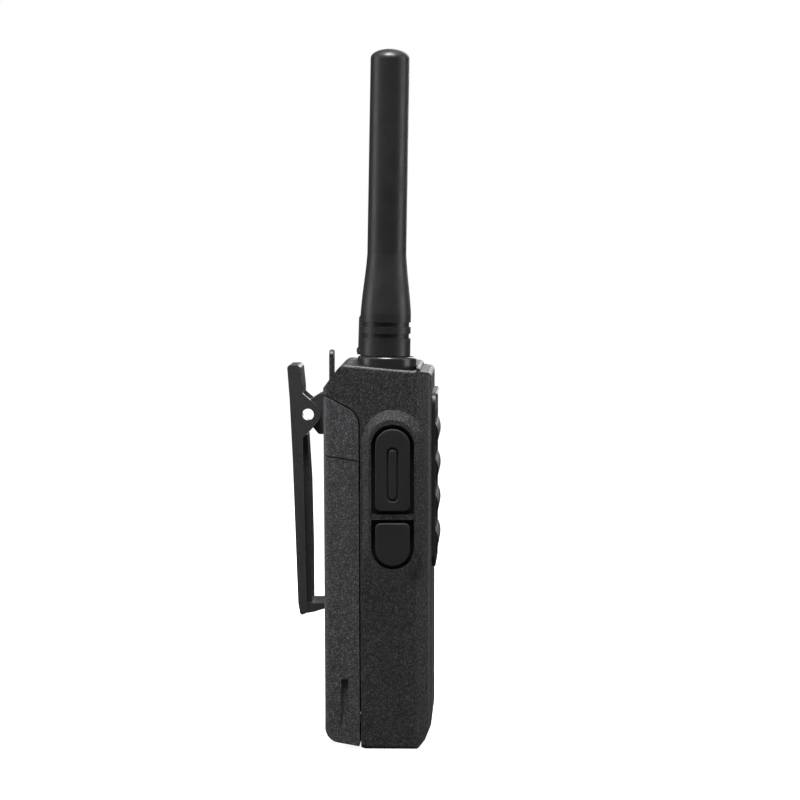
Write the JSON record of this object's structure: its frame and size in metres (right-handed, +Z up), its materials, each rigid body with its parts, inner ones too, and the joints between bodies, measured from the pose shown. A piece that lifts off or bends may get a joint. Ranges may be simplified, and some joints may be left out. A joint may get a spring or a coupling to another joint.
{
  "type": "portable radio",
  "caption": "Handheld two-way radio with stub antenna, top knobs, side talk key, grille front, sliding battery pack and sprung belt clip.",
  "frame": {"origin": "middle of the base, on the flat face that the radio stands on", "axes": "+Z up along the body and antenna, -Y out of the speaker face, +Y towards the belt clip, -X towards the talk key"},
  "size_m": [0.0566, 0.0467, 0.2126],
  "materials": {
    "body_plastic": "black plastic with a fine spark-eroded grain",
    "deck_plastic": "satin black plastic with a faint grain",
    "panel_plastic": "black plastic with a very fine grain",
    "mesh_cloth": "fine black acoustic cloth",
    "speaker_metal": "grey painted speaker basket",
    "board": "green circuit board",
    "tin": "tin plated sheet",
    "cast_metal": "bare die cast metal",
    "silicone": "brick red silicone",
    "gold": "gold plated contact",
    "steel": "zinc plated steel",
    "key_rubber": "smooth matte black rubber",
    "seal_rubber": "black rubber",
    "lens": "clear light guide",
    "collar": "glossy black plastic ring",
    "antenna_rubber": "satin black moulded rubber",
    "copper": "copper winding",
    "knob_rubber": "satin black rubber coated plastic",
    "pointer": "white inlay",
    "pack_plastic": "black plastic with a fine spark-eroded grain",
    "cell_wrap": "blue shrink wrap",
    "clip_plastic": "smooth black nylon"
  },
  "bodies": {
    "radio": {"front_housing": "body_plastic", "top_cover": "deck_plastic", "grille_panel": "panel_plastic", "speaker_mesh": "mesh_cloth", "speaker": "speaker_metal", "microphone": "gold", "main_board": "board", "shield_cans": "tin", "chassis": "cast_metal", "seal_ring": "silicone", "contact_pins": "gold", "housing_screws": "steel", "side_board": "board", "side_switches": "steel", "key_seal": "seal_rubber", "light_pipe": "lens", "antenna_collar": "collar", "antenna_connector": "gold", "volume_control": "steel", "channel_selector": "steel", "jack_socket": "seal_rubber", "cover_pin": "steel", "lanyard_plate": "deck_plastic", "latch_springs": "steel"},
    "talk_button": {"talk_key": "key_rubber", "talk_plunger": "steel"},
    "function_button": {"function_key": "key_rubber", "function_plunger": "steel"},
    "antenna": {"antenna_sheath": "antenna_rubber", "antenna_ferrule": "gold", "antenna_element": "copper"},
    "volume": {"volume_knob": "knob_rubber", "volume_pointer": "pointer", "volume_shaft": "steel"},
    "channel": {"channel_knob": "knob_rubber", "channel_pointer": "pointer", "channel_shaft": "steel"},
    "accessory_cover": {"jack_cover": "seal_rubber"},
    "latch": {"battery_latch": "panel_plastic"},
    "battery_pack": {"battery_case": "pack_plastic", "battery_top": "pack_plastic", "battery_cell": "cell_wrap", "battery_board": "board", "battery_contacts": "gold", "charging_contacts": "gold", "clip_bracket": "clip_plastic", "clip_screws": "steel", "clip_spring": "steel"},
    "clip": {"belt_clip": "clip_plastic", "hinge_tube": "steel"}
  },
  "joints": [
    {"name": "talk_press", "type": "slide", "parent": "radio", "child": "talk_button", "axis": [1, 0, 0], "range_m": [0, 0.0008], "stiffness_N_per_m": 2500, "springref_m": -0.0008},
    {"name": "function_press", "type": "slide", "parent": "radio", "child": "function_button", "axis": [1, 0, 0], "range_m": [0, 0.0007], "stiffness_N_per_m": 2500, "springref_m": -0.0006},
    {"name": "antenna_unscrew", "type": "hinge", "parent": "radio", "child": "antenna", "pos_m": [-0.015, -0.0021, 0.116], "axis": [0, -0.0175, 0.9998], "range_deg": [0, 1440]},
    {"name": "volume_turn", "type": "hinge", "parent": "radio", "child": "volume", "pos_m": [0.0164, 0.0004, 0.119], "axis": [0, 0, -1], "range_deg": [0, 270]},
    {"name": "channel_turn", "type": "hinge", "parent": "radio", "child": "channel", "pos_m": [0.0011, 0.0004, 0.119], "axis": [0, 0, -1], "range_deg": [0, 337.5]},
    {"name": "cover_swing", "type": "hinge", "parent": "radio", "child": "accessory_cover", "pos_m": [0.0269, 0, 0.0904], "axis": [0, -1, 0], "range_deg": [0, 110]},
    {"name": "latch_slide", "type": "slide", "parent": "radio", "child": "latch", "axis": [0, -1, 0], "range_m": [0, 0.0011], "stiffness_N_per_m": 400, "springref_m": -0.001},
    {"name": "pack_slide", "type": "slide", "parent": "radio", "child": "battery_pack", "axis": [0, 0, -1], "range_m": [0, 0.012]},
    {"name": "clip_squeeze", "type": "hinge", "parent": "battery_pack", "child": "clip", "pos_m": [0, 0.02175, 0.10085], "axis": [1, 0, 0], "range_deg": [0, 25], "stiffness_Nm_per_rad": 0.25, "springref_deg": -28.65}
  ]
}
